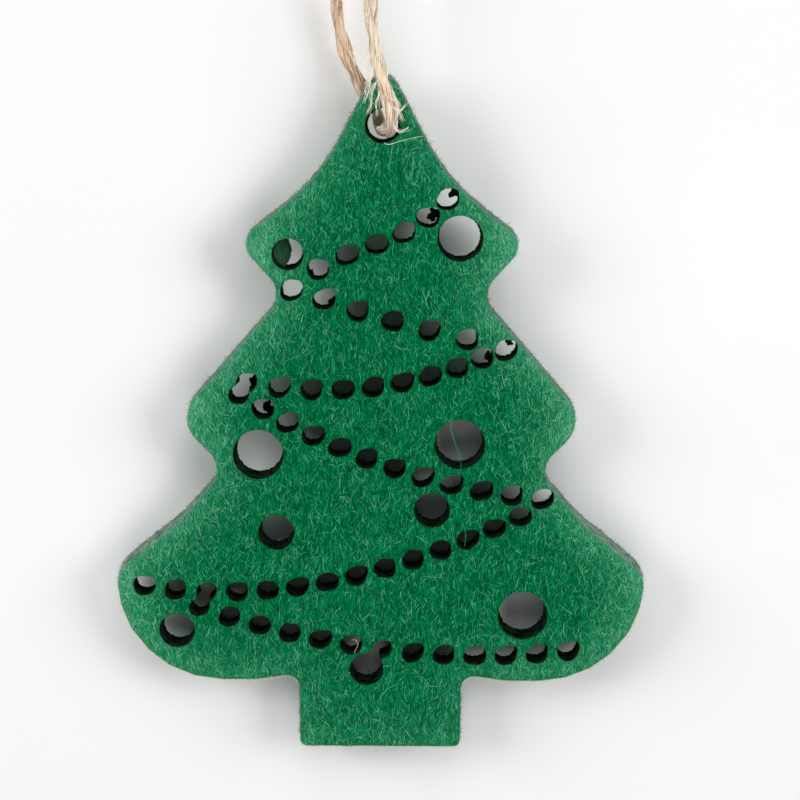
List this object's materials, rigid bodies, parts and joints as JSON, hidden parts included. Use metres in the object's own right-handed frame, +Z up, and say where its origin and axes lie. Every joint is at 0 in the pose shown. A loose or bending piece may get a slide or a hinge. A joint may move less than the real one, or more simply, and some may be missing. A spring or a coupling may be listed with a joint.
{
  "type": "felt christmas ornament",
  "caption": "Flat felt Christmas tree ornament with a pierced garland of bead holes and round bauble holes, hung on a knotted loop of jute twine.",
  "frame": {"origin": "inside the twine loop, just under its knot, where a hook carries the ornament", "axes": "+Z up, -Y out of the felt's front face, +X to the right as seen from the front"},
  "size_m": [0.0782, 0.0088, 0.1728],
  "materials": {
    "felt": "matte needled felt with loose fibres",
    "twine": "matte two-ply jute, frayed"
  },
  "bodies": {
    "hanger": {"twine_loop": "twine", "twine_knot": "twine", "twine_tail_right": "twine", "twine_tail_left": "twine"},
    "tree": {"felt_tree": "felt", "stuck_plug": "felt"}
  },
  "joints": [
    {"name": "tree_swing", "type": "hinge", "parent": "hanger", "child": "tree", "pos_m": [0, 0, -0.06], "axis": [0, 1, 0], "range_deg": [-45, 45]}
  ]
}
